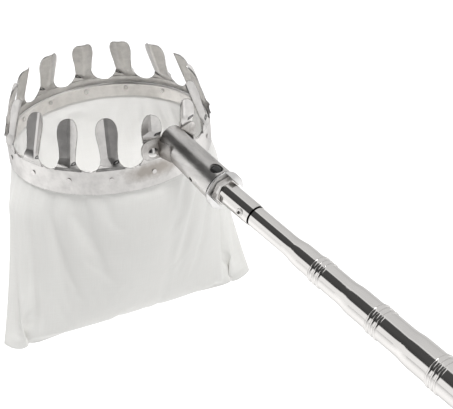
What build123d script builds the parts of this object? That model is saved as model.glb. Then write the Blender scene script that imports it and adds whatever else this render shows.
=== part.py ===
from build123d import *
from math import cos, radians, sin, sqrt, tan
import os

# Fruit picker basket: stamped aluminium crown with a cotton bag on a telescoping steel pole.
# Units are millimetres.  The origin is the centre of the crown at the feet of its prongs,
# +Z runs up the crown's axis and the pole leaves along +X, sloping down.

# ---------------------------------------------------------------- crown
PRONG_COUNT = 15
PITCH_DEG = 360.0 / PRONG_COUNT
FOOT_R = 75.0                 # outer radius of the band at the feet of the prongs
BAND_BOTTOM_R = 74.5          # outer radius of the band at its lower edge
BAND_HEIGHT = 20.2
BAND_TOP = 0.3                # the band's metal reaches this far above the feet
SHEET = 0.9                   # thickness of the crown's sheet
PRONG_LENGTH = 36.5
PRONG_LEAN_DEG = 17.0         # towards the axis
GUARD_LEAN_DEG = -4.5         # the two prongs under the bracket lean outwards
PRONG_HALF_WIDTH = 7.8
NECK_HALF_WIDTH = 6.3
FOOT_HALF_WIDTH = 10.6
FLARE_Y = 2.2
NECK_Y = 7.6
WIDEST_Y = 27.0
SLOT_R = 9.15                 # round bottom of the slot between two prongs
CREASE_IN = 1.6               # how far the crease of a prong is pressed in from its sheet
EDGE_OUT = 1.35               # how far a prong's edges stand out of its sheet
CREASE_HALF_WIDTH = 1.2
FLAT_Y = 1.4                  # a plain prong is flat up to here, and its crease fades out
FOLD_Y = 8.0                  # between here and there
GUARD_FLAT_Y = 18.1           # a guard prong stays flat up to here, behind the ear
GUARD_FOLD_Y = 23.1
FOOT_SINK = 0.9               # a prong's foot reaches this far into the band
BLANK_REACH = 14.0            # half width of the creased sheet before its outline is cut
CUT_MARGIN = 8.0              # how far a cutter reaches past the band on either side

# ---------------------------------------------------------------- hoop and bag
HEM_OUTER_R = 73.45
CLOTH = 0.75
HOOP_OUTER_R = HEM_OUTER_R - CLOTH - 0.06
HOOP_WALL = 0.9
HOOP_TOP = -5.0
HOOP_BOTTOM = -15.2
BEAD_R = 1.1
HOOP_RIVET_Z = -8.6
HOOP_RIVET_HEAD_R = 1.7
HOOP_RIVET_HEAD_H = 0.5
HOOP_RIVET_SHANK_R = 0.8
HOOP_RIVET_OUTER = FOOT_R - 0.15              # where a rivet's head and tail start
HOOP_RIVET_INNER = HOOP_OUTER_R - HOOP_WALL - 0.05
HEM_HOLE_EASE = 0.1
OVERLAP = 0.1                 # by which solids that are joined run into each other
BAG_TOP = -4.0
BAG_DEPTH = 166.0
BAG_TURN_DEG = 75.0           # direction of the straight seam across the bag's bottom
HEM_BOTTOM = -21.0
# height, half length along the seam and half thickness across it, outside the cloth
BAG_SECTIONS = [
    (HEM_BOTTOM, HEM_OUTER_R, HEM_OUTER_R),
    (-50.0, 78.0, 69.0),
    (-85.0, 86.0, 55.0),
    (-118.0, 93.0, 37.0),
    (-144.0, 96.5, 20.0),
    (-159.0, 95.5, 8.0),
    (-BAG_DEPTH, 90.0, 2.3),
]

# ---------------------------------------------------------------- bracket socket
JOINT_POINT = Vector(127.3, 0, -7.3)   # where the axes of the socket and the pole meet
POLE_SLOPE_DEG = 15.4
SOCKET_SLOPE_DEG = 20.0
SOCKET_LENGTH = 60.0
SOCKET_END_R = 12.4
SOCKET_TOP_R = 10.6
SOCKET_WALL = 1.2
CROWN_CLEAR_R = 76.9
BUTTON_U = -5.0               # along the pole from the joint point
BUTTON_R = 4.3
BUTTON_HOLE_R = 4.7
SCREW_HOLE_BACK = 17.8
SCREW_HOLE_TURN_DEG = -104.0
SCREW_HOLE_R = 1.9
EAR_THICKNESS = 1.2
EAR_GAP = 0.05
EAR_CUT_LENGTH = 12.0
EAR_OUT_X = -8.8              # towards the far side of the guard prong
EAR_IN_X = 11.0               # towards the socket
EAR_LOW = 1.6
EAR_HIGH = 17.8
EAR_ROUND = 6.5
CHEEK_SIZE = (13.0, 1.2, 13.0)
CHEEK_CENTRE = (82.5, 10.9, 8.6)
EAR_RIVET_Y = 6.9
EAR_RIVET_R = 2.0
EAR_RIVET_HEAD_R = 4.1
EAR_RIVET_HEAD_H = 2.3
EAR_RIVET_TAIL_R = 3.1
EAR_RIVET_TAIL_H = 0.9
WASHER_R = 4.0
WASHER_T = 0.8
RUNNING = 0.05                # clearance round a rivet or another part in a hole
TOUCH = 0.02                  # gap between faces that lie on each other

# ---------------------------------------------------------------- collar, nut and adapter
COLLAR_LENGTH = 10.7
COLLAR_R = 14.3
COLLAR_ROUND = 3.6
COLLAR_WEB = 3.0
FACE_GAP = 0.03               # between the sleeve's end and the collar
JAW_GAP = 19.6                # slot between the two jaws, which holds the nut by its flats
SPIGOT_LENGTH = 13.0
NUT_FLATS = 18.7
NUT_HEIGHT = 4.6
NUT_CHAMFER = 0.6
NUT_GAP = 1.15                # shadow gap between the collar's web and the nut
WINDOW_TURN_DEG = -39.0
ADAPTER_R = 8.2
ADAPTER_WALL = 0.55
ADAPTER_BACK = -15.0
ADAPTER_FRONT = 38.8
ADAPTER_RIVET_U = 31.0
ADAPTER_RIVET_TURN_DEG = -77.0
ADAPTER_RIVET_R = 1.6
ADAPTER_RIVET_HEAD_R = 2.9
ADAPTER_RIVET_HEAD_H = 1.1
ADAPTER_RIVET_TAIL_R = 2.2
ADAPTER_RIVET_TAIL_H = 2.2
ADAPTER_RIVET_TAIL_POINT = 0.4
ADAPTER_RIVET_SLOPE = 0.5
ADAPTER_RIVET_HOLE_R = 1.05
ADAPTER_RIVET_HOLE_DEPTH = 3.2
BUTTON_TOP = 12.6             # above the pole's axis
BUTTON_DOME = 2.9
BUTTON_EASE = 0.1             # round the button in the adapter's hole
SPRING_HALF_WIDTH = 3.0
SPRING_T = 0.5
SPRING_PLATE = 4.2            # half length of the strip under the button
SPRING_FOOT = 10.0            # how far the lower leg runs past the button
SPRING_LIFT = 0.08
BUTTON_FLANGE_R = 5.2
BUTTON_FLANGE_T = 0.9

# ---------------------------------------------------------------- pole
TUBE_WALL = 0.4
SLIP = 0.06                   # radial clearance between a mouth and the tube inside it
SECTION_R = [9.15, 10.8, 12.4, 14.0]
SECTION_MOUTH = [15.0, 103.2, 162.6, 223.1]
SECTION_TAIL = [560.0, 600.0, 640.0, 700.0]
NECK_LENGTH = 28.0
TAPER_LENGTH = 14.5
TAPER_BLEND = 0.45            # share of a taper over which its curve leaves the straight
FIRST_NECK_R = ADAPTER_R - ADAPTER_WALL - RUNNING
FIRST_TAPER_START = 74.5
FIRST_TAPER_END = 91.1
FIRST_WALL = 0.5
GROOVE_WIDTH = 1.1            # rolled groove in the first section, at the adapter's end
GROOVE_DEPTH = 0.8
BEAD_COUNT = 3
BEAD_FIRST = 1.0
BEAD_PITCH = 4.1
BEAD_WIDTH = 2.7
BEAD_HEIGHT = 0.6
BUSH_LENGTH = 14.0
BUSH_OVERLAP = 2.0            # a bush reaches this far past the tube's end
BUSH_LIP_WALL = 1.2
BUSH_CHAMFER = 0.5

# ---------------------------------------------------------------- handle
GRIP_START = 556.0
GRIP_END = 690.0
GRIP_R = 16.5
GRIP_RIB_COUNT = 16
GRIP_RIB_DEPTH = 0.7
GRIP_RIB_RISE = 0.5           # a groove's round cutter is centred this far above the grip
GRIP_ROUND = 1.2
GRIP_PLAIN_END = 12.0
CAP_R = 17.0
CAP_END = 712.0
CAP_PLUG = 16.0
CAP_ROUND = 3.0
CAP_PLUG_WALL = 2.4
CAP_GAP = 0.05
LOOP_WIRE_R = 1.5
LOOP_PIVOT_U = 705.0
LOOP_HALF_WIDTH = 24.0
LOOP_REACH = 46.0
LOOP_LOW_BEND = 6.0
LOOP_HIGH_BEND = 14.0
LOOP_HANG_DEG = -(90.0 - POLE_SLOPE_DEG)   # from the pole's line to straight down



def tilted_frame(slope_deg):
    """Frame at the joint point: z down the slope, x upwards, y to the right looking back."""
    slope = radians(slope_deg)
    along = Vector(cos(slope), 0, -sin(slope))
    upward = Vector(sin(slope), 0, cos(slope))
    return Plane(origin=JOINT_POINT, x_dir=upward, z_dir=along)


POLE_FRAME = tilted_frame(POLE_SLOPE_DEG)
SOCKET_FRAME = tilted_frame(SOCKET_SLOPE_DEG)


def turned(points):
    """Solid of revolution about Z from a closed outline of (radius, height) points."""
    with BuildPart() as part:
        with BuildSketch(Plane.XZ):
            with BuildLine():
                Polyline(*points, close=True)
            make_face()
        revolve(axis=Axis.Z)
    return part.part


def tube(outer_r, inner_r, low, high):
    """Plain tube about Z."""
    return turned([(inner_r, low), (outer_r, low), (outer_r, high), (inner_r, high)])


def rod(radius, low, high):
    """Plain cylinder about Z."""
    return Pos(0, 0, (low + high) / 2) * Cylinder(radius, high - low)


def radial_rod(radius, start, end, height, turn_deg):
    """Cylinder pointing away from Z at a height, turned about Z from +X."""
    bar = Pos((start + end) / 2, 0, height) * Rot(0, 90, 0) * Cylinder(radius, end - start)
    return Rot(0, 0, turn_deg) * bar


# ---------------------------------------------------------------- crown
def prong_frame(index, lean_deg):
    """Frame on a prong's foot: x across it, y up it, z out of its outer face."""
    turn = radians((index + 0.5) * PITCH_DEG)
    lean = radians(lean_deg)
    outward = Vector(cos(turn), sin(turn), 0)
    across = Vector(-sin(turn), cos(turn), 0)
    normal = outward * cos(lean) + Vector(0, 0, sin(lean))
    return Plane(origin=outward * FOOT_R, x_dir=across, z_dir=normal)


def prong_outline():
    """Paddle outline of a prong in its own plane, foot at y = 0."""
    slot_x = FOOT_R * tan(radians(PITCH_DEG / 2))
    flare_x = slot_x - sqrt(SLOT_R ** 2 - (NECK_Y - FLARE_Y) ** 2)
    base = (FOOT_HALF_WIDTH, -FOOT_SINK)
    flare = (flare_x, FLARE_Y)
    neck = (NECK_HALF_WIDTH, NECK_Y + 1.0)
    widest = (PRONG_HALF_WIDTH, WIDEST_Y)
    tip = (0, PRONG_LENGTH)

    def left(point):
        return (-point[0], point[1])

    with BuildSketch() as sketch:
        with BuildLine():
            Line(left(base), base)
            ThreePointArc(base, flare, neck)
            Spline(neck, widest, tip, tangents=((0, 1), (-1, 0)))
            Spline(tip, left(widest), left(neck), tangents=((-1, 0), (0, -1)))
            ThreePointArc(left(neck), left(flare), left(base))
        make_face()
    return sketch.sketch


def chevron(half_width, edge_z, crease_z):
    """Cross-section of the sheet: flat middle, two sloping wings, one sheet thick."""
    return [
        (-half_width, edge_z),
        (-CREASE_HALF_WIDTH, crease_z),
        (CREASE_HALF_WIDTH, crease_z),
        (half_width, edge_z),
        (half_width, edge_z - SHEET),
        (CREASE_HALF_WIDTH, crease_z - SHEET),
        (-CREASE_HALF_WIDTH, crease_z - SHEET),
        (-half_width, edge_z - SHEET),
    ]


def section_at(height, points):
    """Cross-section face of a prong at a height up its length."""
    plane = Plane(origin=(0, height, 0), x_dir=(1, 0, 0), z_dir=(0, -1, 0))
    with BuildSketch(plane) as sketch:
        with BuildLine():
            Polyline(*points, close=True)
        make_face()
    return sketch.sketch


def prong(flat_y, fold_y):
    """One prong in its own frame: flat foot, fold, then a creased paddle."""
    reach = BLANK_REACH
    rise = (EDGE_OUT + CREASE_IN) / (PRONG_HALF_WIDTH - CREASE_HALF_WIDTH)
    creased = chevron(reach, rise * (reach - CREASE_HALF_WIDTH) - CREASE_IN, -CREASE_IN)
    flat = chevron(reach, 0.0, 0.0)
    upper = loft([section_at(fold_y, creased), section_at(PRONG_LENGTH + 2, creased)], ruled=True)
    fold = loft([section_at(flat_y, flat), section_at(fold_y, creased)], ruled=True)
    body = upper + fold
    foot = loft([section_at(-FOOT_SINK, flat), section_at(flat_y, flat)], ruled=True)
    body = body + foot
    blank = extrude(prong_outline(), amount=2 * (EDGE_OUT + CREASE_IN), both=True)
    return body & blank


def build_crown():
    """Conical band with a ring of prongs; the two prongs by the bracket stand outwards."""
    slope = (FOOT_R - BAND_BOTTOM_R) / BAND_HEIGHT
    top_r = FOOT_R + slope * BAND_TOP
    crown = turned([
        (BAND_BOTTOM_R - SHEET, -BAND_HEIGHT),
        (BAND_BOTTOM_R, -BAND_HEIGHT),
        (top_r, BAND_TOP),
        (top_r - SHEET, BAND_TOP),
    ])
    plain = prong(FLAT_Y, FOLD_Y)
    guard = prong(GUARD_FLAT_Y, GUARD_FOLD_Y)
    for index in range(PRONG_COUNT):
        by_bracket = index in (0, PRONG_COUNT - 1)
        lean = GUARD_LEAN_DEG if by_bracket else PRONG_LEAN_DEG
        shape = guard if by_bracket else plain
        crown = crown + prong_frame(index, lean).location * shape
    for index in range(PRONG_COUNT):
        scallop = radial_rod(SLOT_R, FOOT_R - CUT_MARGIN, FOOT_R + CUT_MARGIN, NECK_Y, index * PITCH_DEG)
        crown = crown - scallop
        rivet_turn = (index + 0.5) * PITCH_DEG
        crown = crown - hoop_rivet_hole(HOOP_RIVET_SHANK_R, rivet_turn)
    for index in (0, PRONG_COUNT - 1):
        crown = crown - ear_rivet_hole(index)
    return crown


def hoop_rivet_hole(radius, turn_deg):
    """Cutter for a hole through band, hem and hoop."""
    return radial_rod(radius, FOOT_R - CUT_MARGIN, FOOT_R + CUT_MARGIN, HOOP_RIVET_Z, turn_deg)


def ear_rivet_hole(index):
    """Cutter for a bracket rivet's hole through a guard prong and the ear on it."""
    hole = Pos(0, EAR_RIVET_Y, 0) * Cylinder(EAR_RIVET_R + RUNNING, EAR_CUT_LENGTH)
    return prong_frame(index, GUARD_LEAN_DEG).location * hole


def build_inner_hoop():
    """Hoop that clamps the bag's hem against the band, with a rolled bead at its top."""
    inner_r = HOOP_OUTER_R - HOOP_WALL
    hoop = tube(HOOP_OUTER_R, inner_r, HOOP_BOTTOM, HOOP_TOP)
    bead = Pos(0, 0, HOOP_TOP) * Torus(HOOP_OUTER_R - BEAD_R, BEAD_R)
    hoop = hoop + bead
    for index in range(PRONG_COUNT):
        turn = (index + 0.5) * PITCH_DEG
        hoop = hoop - hoop_rivet_hole(HOOP_RIVET_SHANK_R, turn)
    return hoop


def build_hoop_rivets():
    """Small flat rivets through band, hem and hoop, one under each prong."""
    shank_r = HOOP_RIVET_SHANK_R - RUNNING
    outer_face, inner_face = HOOP_RIVET_OUTER, HOOP_RIVET_INNER
    rivets = []
    for index in range(PRONG_COUNT):
        turn = (index + 0.5) * PITCH_DEG
        shank = radial_rod(shank_r, inner_face - OVERLAP, outer_face + OVERLAP, HOOP_RIVET_Z, turn)
        head = radial_rod(
            HOOP_RIVET_HEAD_R, outer_face, outer_face + HOOP_RIVET_HEAD_H, HOOP_RIVET_Z, turn
        )
        tail = radial_rod(
            HOOP_RIVET_HEAD_R, inner_face - HOOP_RIVET_HEAD_H, inner_face, HOOP_RIVET_Z, turn
        )
        rivets.append(shank + head + tail)
    return Compound(children=[rivet.solid() for rivet in rivets])


# ---------------------------------------------------------------- bag
def bag_loft(inset, bottom_lift):
    """Solid inside the bag's skin, inset by a cloth thickness."""
    sections = []
    for height, half_length, half_depth in BAG_SECTIONS:
        level = max(height, -BAG_DEPTH + bottom_lift)
        plane = Plane(origin=(0, 0, level), x_dir=(1, 0, 0), z_dir=(0, 0, 1))
        with BuildSketch(plane) as sketch:
            Ellipse(half_length - inset, half_depth - inset)
        sections.append(sketch.sketch)
    return loft(sections)


def build_bag():
    """Flat-bottomed cloth bag, open at the top, with holes where the rivets pass its hem."""
    outside = bag_loft(0.0, 0.0)
    inside = bag_loft(CLOTH, CLOTH)
    outside = outside + rod(HEM_OUTER_R, HEM_BOTTOM, BAG_TOP)
    inside = inside + rod(HEM_OUTER_R - CLOTH, HEM_BOTTOM, BAG_TOP + 1)
    bag = Rot(0, 0, BAG_TURN_DEG) * (outside - inside)
    for index in range(PRONG_COUNT):
        turn = (index + 0.5) * PITCH_DEG
        bag = bag - hoop_rivet_hole(HOOP_RIVET_SHANK_R + HEM_HOLE_EASE, turn)
    return bag


# ---------------------------------------------------------------- bracket
def build_socket():
    """Rolled sheet sleeve with two ears that lie on the guard prongs."""
    spread = (SOCKET_END_R - SOCKET_TOP_R) / SOCKET_LENGTH
    shell = SOCKET_FRAME.location * turned([
        (0, -SOCKET_LENGTH),
        (SOCKET_TOP_R, -SOCKET_LENGTH),
        (SOCKET_END_R, 0),
        (0, 0),
    ])
    hollow = SOCKET_FRAME.location * turned([
        (0, -SOCKET_LENGTH - 1),
        (SOCKET_TOP_R - SOCKET_WALL - spread, -SOCKET_LENGTH - 1),
        (SOCKET_END_R - SOCKET_WALL + spread, 1),
        (0, 1),
    ])
    body = shell - rod(CROWN_CLEAR_R, -SOCKET_LENGTH, SOCKET_LENGTH)
    for index in (0, PRONG_COUNT - 1):
        body = body + ear(index)
    body = body - hollow
    for index in (0, PRONG_COUNT - 1):
        body = body - ear_rivet_hole(index)
    button_hole = Pos(BUTTON_TOP, 0, BUTTON_U) * Rot(0, 90, 0) * Cylinder(BUTTON_HOLE_R, SOCKET_END_R)
    body = body - POLE_FRAME.location * button_hole
    screw_hole = radial_rod(
        SCREW_HOLE_R, SOCKET_END_R / 2, SOCKET_END_R * 1.5, -SCREW_HOLE_BACK, -SCREW_HOLE_TURN_DEG
    )
    return body - SOCKET_FRAME.location * screw_hole


def ear(index):
    """Rounded plate on a guard prong, with a cheek that runs back into the sleeve."""
    side = 1 if index == 0 else -1
    with BuildSketch() as sketch:
        with BuildLine():
            Polyline(
                (EAR_IN_X, EAR_LOW), (EAR_OUT_X, EAR_LOW), (EAR_OUT_X, EAR_HIGH), (EAR_IN_X, EAR_HIGH),
                close=True,
            )
        make_face()
        corners = sketch.vertices().filter_by(lambda vertex: vertex.X < EAR_OUT_X + 1)
        fillet(corners, radius=EAR_ROUND)
    plate = extrude(sketch.sketch, amount=EAR_THICKNESS)
    if side > 0:
        plate = mirror(plate, about=Plane.YZ)
    plate = Pos(0, 0, EAR_GAP) * plate
    placed = prong_frame(index, GUARD_LEAN_DEG).location * plate
    cheek_x, cheek_y, cheek_z = CHEEK_CENTRE
    cheek = Pos(cheek_x, side * cheek_y, cheek_z) * Box(*CHEEK_SIZE)
    return placed + cheek


def build_ear_rivets():
    """Two dome-headed rivets that hold the bracket's ears to the guard prongs."""
    rivets = []
    outer = EAR_GAP + EAR_THICKNESS + TOUCH
    inner = -SHEET - WASHER_T - 3 * TOUCH
    for index in (0, PRONG_COUNT - 1):
        shank = rod(EAR_RIVET_R, inner - OVERLAP, outer + OVERLAP)
        height = EAR_RIVET_HEAD_H
        ball_r = (EAR_RIVET_HEAD_R ** 2 + height ** 2) / (2 * height)
        ball = Pos(0, 0, outer + height - ball_r) * Sphere(ball_r)
        dome = ball & rod(EAR_RIVET_HEAD_R, outer, outer + height + 1)
        tail = rod(EAR_RIVET_TAIL_R, inner - EAR_RIVET_TAIL_H, inner)
        rivet = Pos(0, EAR_RIVET_Y, 0) * (shank + dome + tail)
        placed = prong_frame(index, GUARD_LEAN_DEG).location * rivet
        rivets.append(placed.solid())
    return Compound(children=rivets)


def build_rivet_washers():
    """Washers under the tails of the bracket's rivets, inside the guard prongs."""
    washers = []
    for index in (0, PRONG_COUNT - 1):
        outer = -SHEET - TOUCH
        ring = tube(WASHER_R, EAR_RIVET_R + RUNNING, outer - WASHER_T, outer)
        placed = prong_frame(index, GUARD_LEAN_DEG).location * Pos(0, EAR_RIVET_Y, 0) * ring
        washers.append(placed.solid())
    return Compound(children=washers)


# ---------------------------------------------------------------- collar, nut, adapter
def build_collar():
    """Cast collar: spigot in the socket, web, and two rounded jaws either side of the nut."""
    spread = (SOCKET_END_R - SOCKET_TOP_R) / SOCKET_LENGTH
    mouth_r = SOCKET_END_R - SOCKET_WALL - RUNNING
    spigot = turned([
        (0, -SPIGOT_LENGTH),
        (mouth_r - spread * SPIGOT_LENGTH, -SPIGOT_LENGTH),
        (mouth_r, FACE_GAP),
        (0, FACE_GAP),
    ])
    with BuildPart() as ring:
        with BuildSketch(Plane.XZ):
            with BuildLine():
                Polyline(
                    (0, FACE_GAP), (COLLAR_R, FACE_GAP), (COLLAR_R, COLLAR_LENGTH), (0, COLLAR_LENGTH),
                    close=True,
                )
            make_face()
        revolve(axis=Axis.Z)
        rims = ring.edges().filter_by(GeomType.CIRCLE).filter_by(lambda edge: edge.radius > COLLAR_R - 1)
        fillet(rims, radius=COLLAR_ROUND)
    window = Box(3 * COLLAR_R, JAW_GAP, COLLAR_LENGTH)
    window = Rot(0, 0, -WINDOW_TURN_DEG) * Pos(0, 0, COLLAR_WEB + COLLAR_LENGTH / 2) * window
    jaws = ring.part - window
    body = SOCKET_FRAME.location * (spigot + jaws)
    body = body - POLE_FRAME.location * rod(ADAPTER_R + RUNNING, -ADAPTER_FRONT, ADAPTER_FRONT)
    button_path = Pos(BUTTON_TOP, 0, BUTTON_U) * Rot(0, 90, 0)
    button_path = button_path * Cylinder(BUTTON_R + BUTTON_EASE, 2 * BUTTON_TOP)
    body = body - POLE_FRAME.location * button_path
    return max(body.solids(), key=lambda solid: solid.volume)


def build_lock_nut():
    """Hex nut that draws the adapter tight in the collar."""
    with BuildPart() as nut:
        with BuildSketch():
            RegularPolygon(NUT_FLATS / 2, 6, major_radius=False)
        extrude(amount=NUT_HEIGHT)
        top = nut.faces().sort_by(Axis.Z)[-1]
        chamfer(top.edges(), length=NUT_CHAMFER)
    body = nut.part - rod(ADAPTER_R + RUNNING, -1, NUT_HEIGHT + 1)
    seated = Pos(0, 0, COLLAR_WEB + NUT_GAP) * Rot(0, 0, -WINDOW_TURN_DEG) * body
    return POLE_FRAME.location * seated


def build_adapter_tube():
    """Short tube between the collar and the pole, with the button's hole in it."""
    body = tube(ADAPTER_R, ADAPTER_R - ADAPTER_WALL, ADAPTER_BACK, ADAPTER_FRONT)
    hole = Pos(ADAPTER_R, 0, BUTTON_U) * Rot(0, 90, 0) * Cylinder(BUTTON_R + BUTTON_EASE, ADAPTER_R)
    return POLE_FRAME.location * (body - hole - adapter_rivet_hole())


def adapter_rivet_hole():
    """Cutter for the blind rivet's hole in one wall of the adapter and the pole in it."""
    return radial_rod(
        ADAPTER_RIVET_R + RUNNING, ADAPTER_R / 2, ADAPTER_R * 1.5,
        ADAPTER_RIVET_U, -ADAPTER_RIVET_TURN_DEG,
    )


def build_adapter_rivet():
    """Blind rivet through the adapter tube and the end of the pole, hollow in the middle."""
    wall_out = ADAPTER_R + FACE_GAP
    head_out = wall_out + ADAPTER_RIVET_HEAD_H
    inside = sqrt((FIRST_NECK_R - FIRST_WALL) ** 2 - ADAPTER_RIVET_TAIL_R ** 2) - FACE_GAP
    profile = [
        (0, inside - ADAPTER_RIVET_TAIL_H - ADAPTER_RIVET_TAIL_POINT),
        (ADAPTER_RIVET_TAIL_R, inside - ADAPTER_RIVET_TAIL_H),
        (ADAPTER_RIVET_TAIL_R, inside),
        (ADAPTER_RIVET_R, inside),
        (ADAPTER_RIVET_R, wall_out),
        (ADAPTER_RIVET_HEAD_R, wall_out),
        (ADAPTER_RIVET_HEAD_R - ADAPTER_RIVET_SLOPE, head_out - ADAPTER_RIVET_SLOPE / 2),
        (ADAPTER_RIVET_HEAD_R / 2, head_out),
        (ADAPTER_RIVET_HOLE_R, head_out - ADAPTER_RIVET_SLOPE / 2),
        (ADAPTER_RIVET_HOLE_R, head_out - ADAPTER_RIVET_HOLE_DEPTH),
        (0, head_out - ADAPTER_RIVET_HOLE_DEPTH),
    ]
    upright = turned(profile)
    placed = Rot(0, 0, -ADAPTER_RIVET_TURN_DEG) * Pos(0, 0, ADAPTER_RIVET_U) * Rot(0, 90, 0) * upright
    return POLE_FRAME.location * placed


def build_spring_button():
    """Snap button: domed pin with a flange inside the adapter tube."""
    bore_r = ADAPTER_R - ADAPTER_WALL
    flange_top = sqrt(bore_r ** 2 - BUTTON_FLANGE_R ** 2) - RUNNING
    pin = rod(BUTTON_R, flange_top - BUTTON_FLANGE_T, BUTTON_TOP)
    edges = pin.edges().filter_by(GeomType.CIRCLE).sort_by(Axis.Z)[-1:]
    pin = fillet(edges, radius=BUTTON_DOME)
    flange = rod(BUTTON_FLANGE_R, flange_top - BUTTON_FLANGE_T, flange_top)
    button = Pos(0, 0, BUTTON_U) * Rot(0, 90, 0) * (pin + flange)
    return POLE_FRAME.location * button


def build_button_spring():
    """Bent strip spring that lies in the adapter tube and pushes the button out."""
    bore_r = ADAPTER_R - ADAPTER_WALL
    floor = -sqrt(bore_r ** 2 - SPRING_HALF_WIDTH ** 2) + SPRING_LIFT
    flange_top = sqrt(bore_r ** 2 - BUTTON_FLANGE_R ** 2) - RUNNING
    plate_top = flange_top - BUTTON_FLANGE_T - RUNNING
    bend = ADAPTER_BACK + RUNNING
    with BuildPart() as spring:
        with BuildSketch(Plane.XZ):
            with BuildLine():
                Polyline(
                    (plate_top, BUTTON_U + SPRING_PLATE),
                    (plate_top, BUTTON_U - SPRING_PLATE),
                    (floor, bend),
                    (floor, BUTTON_U + SPRING_FOOT),
                    (floor + SPRING_T, BUTTON_U + SPRING_FOOT),
                    (floor + SPRING_T, bend + 2 * SPRING_T),
                    (plate_top - SPRING_T, BUTTON_U - SPRING_PLATE + 2 * SPRING_T),
                    (plate_top - SPRING_T, BUTTON_U + SPRING_PLATE),
                    close=True,
                )
            make_face()
        extrude(amount=SPRING_HALF_WIDTH, both=True)
    return POLE_FRAME.location * spring.part


# ---------------------------------------------------------------- pole
def bead_profile(neck_r, start):
    """Line through the rolled beads at a mouth, as arcs joined by short straights."""
    edges = []
    level = start
    for index in range(BEAD_COUNT):
        low = start + BEAD_FIRST + index * BEAD_PITCH
        high = low + BEAD_WIDTH
        edges.append(Line((neck_r, level), (neck_r, low)))
        edges.append(ThreePointArc((neck_r, low), (neck_r + BEAD_HEIGHT, (low + high) / 2), (neck_r, high)))
        level = high
    return edges, level


def necked_section(number):
    """Pole section with a beaded, narrowed mouth that guides the section inside it."""
    full_r = SECTION_R[number]
    neck_in = SECTION_R[number - 1] + SLIP
    neck_r = neck_in + TUBE_WALL
    mouth = SECTION_MOUTH[number]
    neck_end = mouth + NECK_LENGTH
    taper_end = neck_end + TAPER_LENGTH
    tail = SECTION_TAIL[number]
    blend = TAPER_LENGTH * TAPER_BLEND
    with BuildPart() as section:
        with BuildSketch(Plane.XZ):
            with BuildLine():
                _, level = bead_profile(neck_r, mouth)
                Line((neck_r, level), (neck_r, neck_end))
                Bezier(
                    (neck_r, neck_end),
                    (neck_r, neck_end + blend),
                    (full_r, taper_end - blend),
                    (full_r, taper_end),
                )
                Line((full_r, taper_end), (full_r, tail))
                Line((full_r, tail), (full_r - TUBE_WALL, tail))
                Line((full_r - TUBE_WALL, tail), (full_r - TUBE_WALL, taper_end))
                Bezier(
                    (full_r - TUBE_WALL, taper_end),
                    (full_r - TUBE_WALL, taper_end - blend),
                    (neck_in, neck_end + blend),
                    (neck_in, neck_end),
                )
                Line((neck_in, neck_end), (neck_in, mouth))
                Line((neck_in, mouth), (neck_r, mouth))
            make_face()
        revolve(axis=Axis.Z)
    return POLE_FRAME.location * section.part


def build_first_section():
    """Innermost section: reduced end inside the adapter, then a plain tube."""
    full_r = SECTION_R[0]
    wall = FIRST_WALL
    blend = (FIRST_TAPER_END - FIRST_TAPER_START) * TAPER_BLEND
    start, tail = SECTION_MOUTH[0], SECTION_TAIL[0]
    with BuildPart() as section:
        with BuildSketch(Plane.XZ):
            with BuildLine():
                Line((FIRST_NECK_R, start), (FIRST_NECK_R, FIRST_TAPER_START))
                Bezier(
                    (FIRST_NECK_R, FIRST_TAPER_START),
                    (FIRST_NECK_R, FIRST_TAPER_START + blend),
                    (full_r, FIRST_TAPER_END - blend),
                    (full_r, FIRST_TAPER_END),
                )
                Line((full_r, FIRST_TAPER_END), (full_r, tail))
                Line((full_r, tail), (full_r - wall, tail))
                Line((full_r - wall, tail), (full_r - wall, FIRST_TAPER_END))
                Bezier(
                    (full_r - wall, FIRST_TAPER_END),
                    (full_r - wall, FIRST_TAPER_END - blend),
                    (FIRST_NECK_R - wall, FIRST_TAPER_START + blend),
                    (FIRST_NECK_R - wall, FIRST_TAPER_START),
                )
                Line((FIRST_NECK_R - wall, FIRST_TAPER_START), (FIRST_NECK_R - wall, start))
                Line((FIRST_NECK_R - wall, start), (FIRST_NECK_R, start))
            make_face()
        revolve(axis=Axis.Z)
    low, high = ADAPTER_FRONT, ADAPTER_FRONT + GROOVE_WIDTH
    bed = FIRST_NECK_R - GROOVE_DEPTH
    groove = tube(FIRST_NECK_R + GROOVE_DEPTH, bed, low, high)
    lining = tube(FIRST_NECK_R - OVERLAP, bed - wall, low - wall, high + wall)
    body = (section.part + lining) - groove - adapter_rivet_hole()
    return POLE_FRAME.location * body


def build_guide_bush(number):
    """Plastic bush on the tail of a section, running in the next section's bore."""
    tube_r = SECTION_R[number]
    bore_r = SECTION_R[number + 1] - TUBE_WALL
    outer_r = bore_r - SLIP
    tail = SECTION_TAIL[number]
    end = tail + BUSH_OVERLAP
    start = end - BUSH_LENGTH
    wall = FIRST_WALL if number == 0 else TUBE_WALL
    return POLE_FRAME.location * turned([
        (tube_r + TOUCH, start),
        (outer_r - BUSH_CHAMFER, start),
        (outer_r, start + BUSH_CHAMFER),
        (outer_r, end - BUSH_CHAMFER),
        (outer_r - BUSH_CHAMFER, end),
        (tube_r - wall - BUSH_LIP_WALL, end),
        (tube_r - wall - BUSH_LIP_WALL, tail + TOUCH),
        (tube_r + TOUCH, tail + TOUCH),
    ])


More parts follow.
